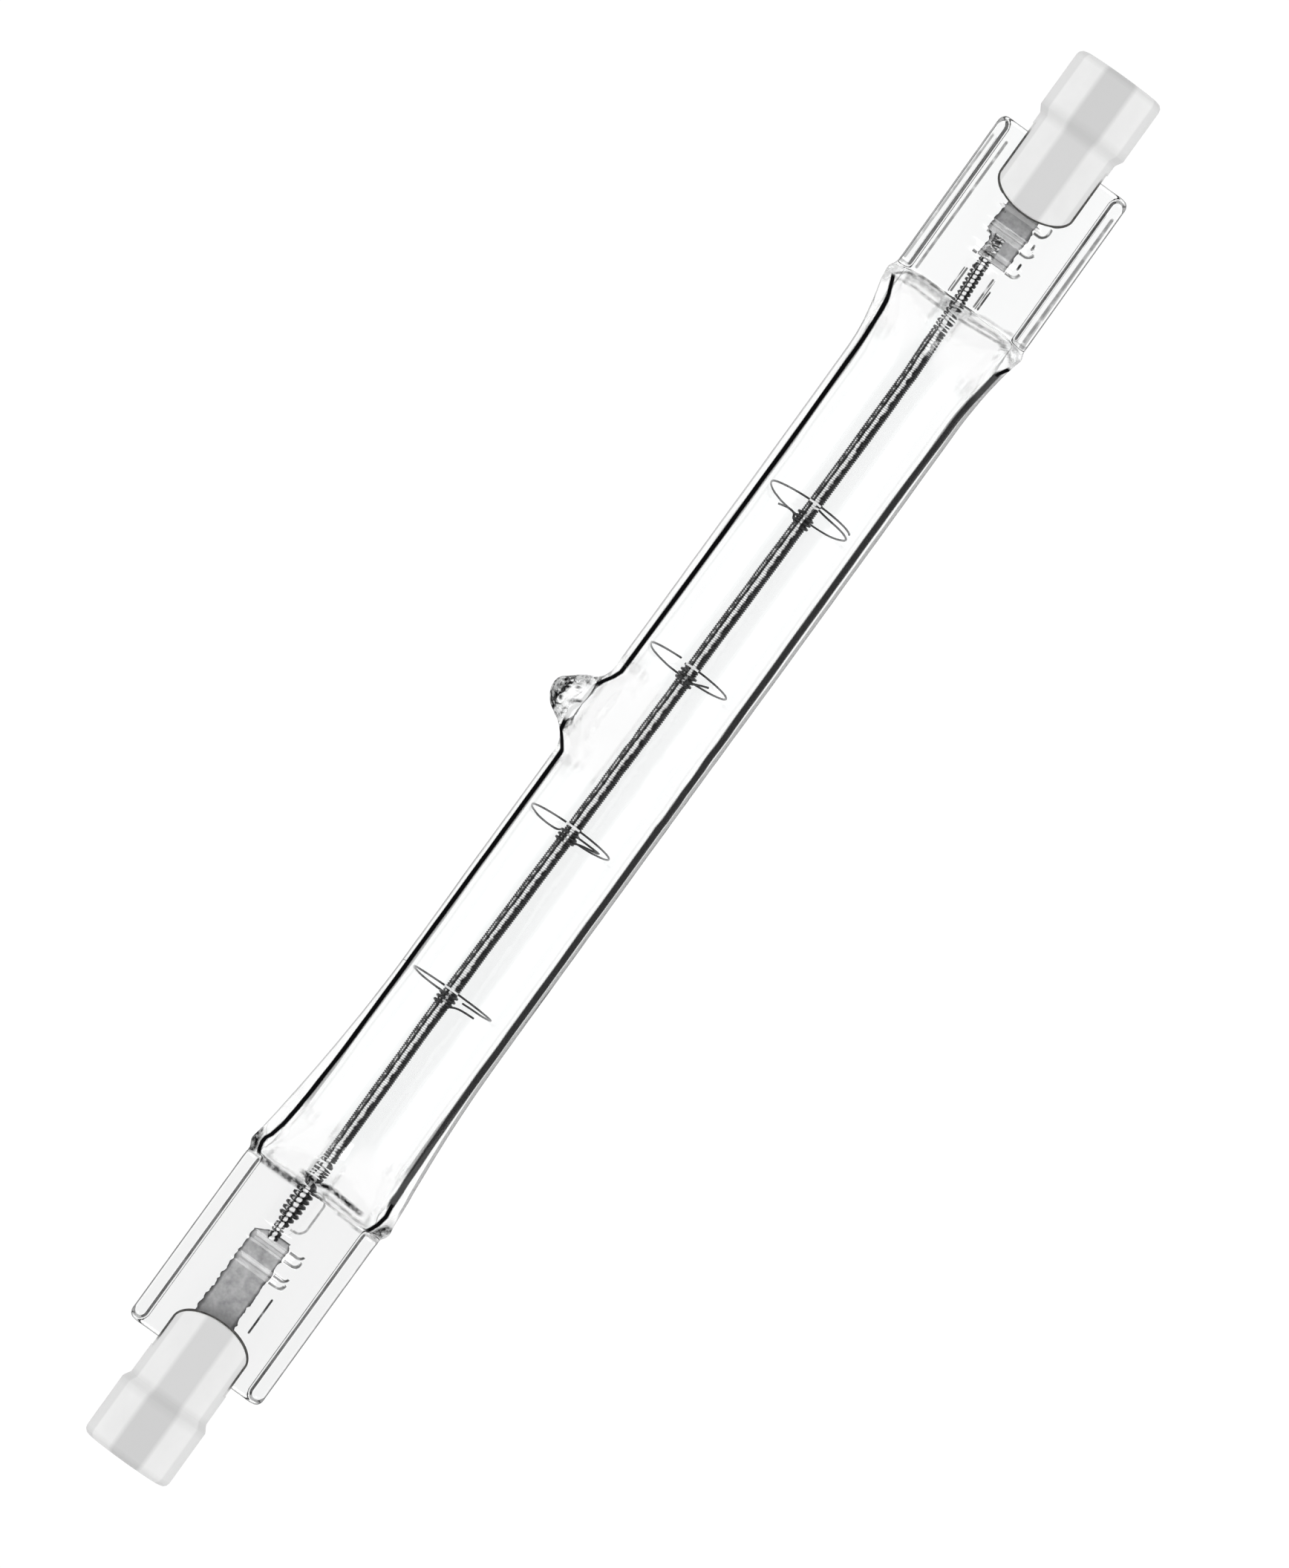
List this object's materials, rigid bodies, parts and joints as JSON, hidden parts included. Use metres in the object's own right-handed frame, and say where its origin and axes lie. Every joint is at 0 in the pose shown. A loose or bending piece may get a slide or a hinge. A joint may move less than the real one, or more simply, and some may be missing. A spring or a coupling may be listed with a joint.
{
  "type": "linear halogen bulb",
  "caption": "Linear halogen lamp: coiled filament on wire supports in a quartz tube, with flat pressed seals and ceramic end caps that hold recessed contacts.",
  "frame": {"origin": "on the lamp's axis, midway between the two contact faces, which is also its centroid to within half a millimetre", "axes": "+X along the lamp towards end b, +Z normal to the flat seals and up as the lamp lies on its tube, +Y towards the exhaust tip"},
  "size_m": [0.1176, 0.0132, 0.0096],
  "materials": {
    "quartz": "clear, fire polished",
    "tungsten": "dark grey drawn wire",
    "molybdenum": "satin rolled foil and wire",
    "ceramic": "matt, unglazed, off-white",
    "cement": "matt, dark grey",
    "contact_metal": "satin nickel"
  },
  "bodies": {
    "root": {"quartz_envelope": "quartz", "filament": "tungsten", "filament_support_1": "tungsten", "filament_support_2": "tungsten", "filament_support_3": "tungsten", "filament_support_4": "tungsten", "seal_foil_a": "molybdenum", "seal_foil_b": "molybdenum", "lead_wire_a": "molybdenum", "lead_wire_b": "molybdenum", "ceramic_cap_a": "ceramic", "ceramic_cap_b": "ceramic", "cement_a": "cement", "cement_b": "cement", "contact_a": "contact_metal", "contact_b": "contact_metal"}
  },
  "joints": []
}
